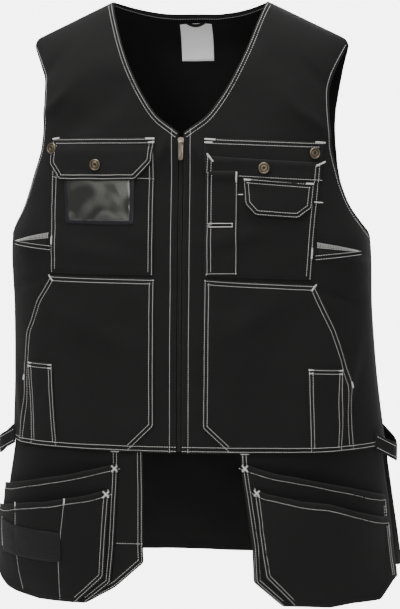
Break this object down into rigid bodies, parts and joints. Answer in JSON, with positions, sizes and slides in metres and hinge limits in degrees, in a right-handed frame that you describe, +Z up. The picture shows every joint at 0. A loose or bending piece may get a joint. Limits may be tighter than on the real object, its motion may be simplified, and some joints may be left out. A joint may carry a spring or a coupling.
{
  "type": "utility work vest",
  "caption": "Sleeveless zip-front work vest in black canvas with contrast stitching, flapped chest pockets, slanted lower pockets and hanging holster pockets.",
  "frame": {"origin": "midway between the middles of the two shoulder seams, where the vest hangs on the shoulders", "axes": "+X to the viewer's right, which is the wearer's left; -Y out of the front; +Z up"},
  "size_m": [0.5684, 0.2478, 0.8184],
  "materials": {
    "canvas": "black twill canvas, slightly faded, off-white topstitching",
    "tape": "black woven tape",
    "label": "white woven label, bare",
    "elastic": "black ribbed webbing",
    "antique_brass": "antique brass, darkened in the hollows",
    "bronze": "worn bronze",
    "vinyl": "soft black vinyl edging",
    "film": "clear flexible film over dark cloth, glossy and wavy"
  },
  "bodies": {
    "vest": {"back_panel": "canvas", "front_panel_right": "canvas", "front_panel_left": "canvas", "neck_tape": "tape", "size_label": "label", "hanger_loop": "tape", "zip_chain": "tape", "zip_slider": "bronze", "chest_pocket_right": "canvas", "chest_flap_right": "canvas", "id_window_frame": "vinyl", "id_window_film": "film", "chest_pocket_left": "canvas", "chest_flap_left": "canvas", "pen_pocket": "canvas", "phone_flap": "canvas", "button_right_outer": "antique_brass", "button_right_middle": "antique_brass", "button_left_middle": "antique_brass", "button_left_outer": "antique_brass", "side_slit_right": "canvas", "side_slit_left": "canvas", "lower_pocket_right": "canvas", "lower_pocket_left": "canvas", "ruler_pocket_right": "canvas", "ruler_pocket_left": "canvas", "holster_back_right": "canvas", "holster_inner_right": "canvas", "holster_outer_right": "canvas", "tool_band": "elastic", "holster_back_left": "canvas", "holster_inner_left": "canvas", "holster_outer_left": "canvas", "hammer_loop_right": "elastic", "hammer_loop_left": "elastic"},
    "pull": {"zip_pull": "bronze"}
  },
  "joints": [
    {"name": "pull_hinge", "type": "hinge", "parent": "vest", "child": "pull", "pos_m": [0, -0.10479, -0.16441], "axis": [-1, 0, 0], "range_deg": [0, 150]}
  ]
}
